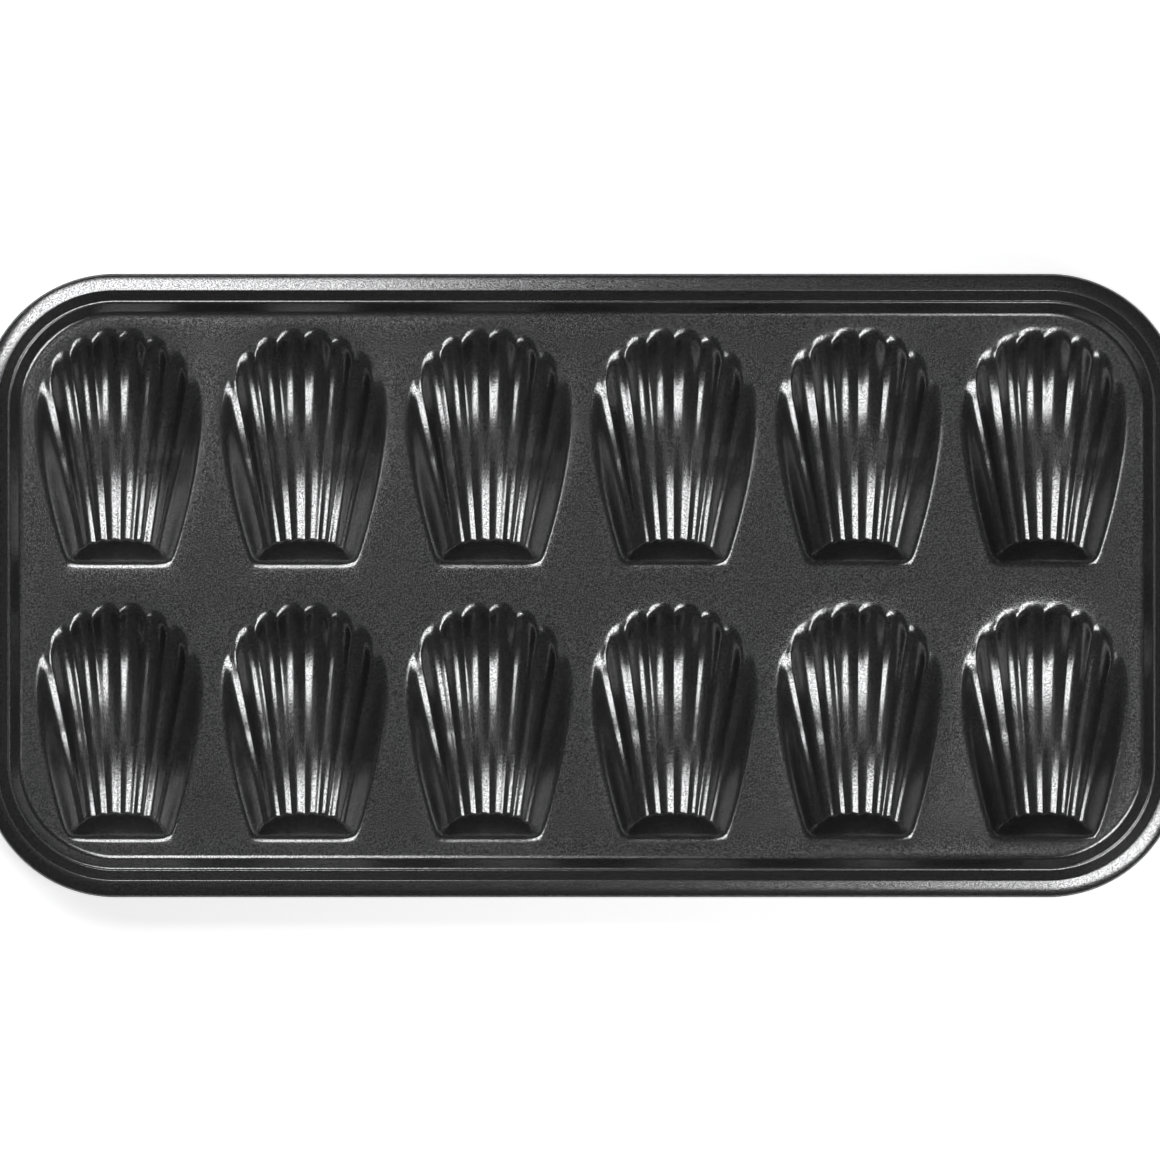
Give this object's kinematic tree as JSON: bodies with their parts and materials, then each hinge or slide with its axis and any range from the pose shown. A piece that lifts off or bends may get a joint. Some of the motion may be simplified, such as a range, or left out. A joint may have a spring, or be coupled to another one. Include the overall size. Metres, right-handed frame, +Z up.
{
  "type": "madeleine pan",
  "caption": "Shallow rectangular baking tray pressed from coated sheet, with fluted shell-shaped cups and a rolled wired edge.",
  "frame": {"origin": "centre of the pan's outline, on the surface that its cups stand on", "axes": "+X along the long side, +Y towards the scalloped ends of the cups, +Z up out of the cups"},
  "size_m": [0.395, 0.205, 0.0228],
  "materials": {
    "coated_sheet": "satin",
    "rim_wire": "drawn"
  },
  "bodies": {
    "root": {"pan_sheet": "coated_sheet", "rim_wire": "rim_wire"}
  },
  "joints": []
}
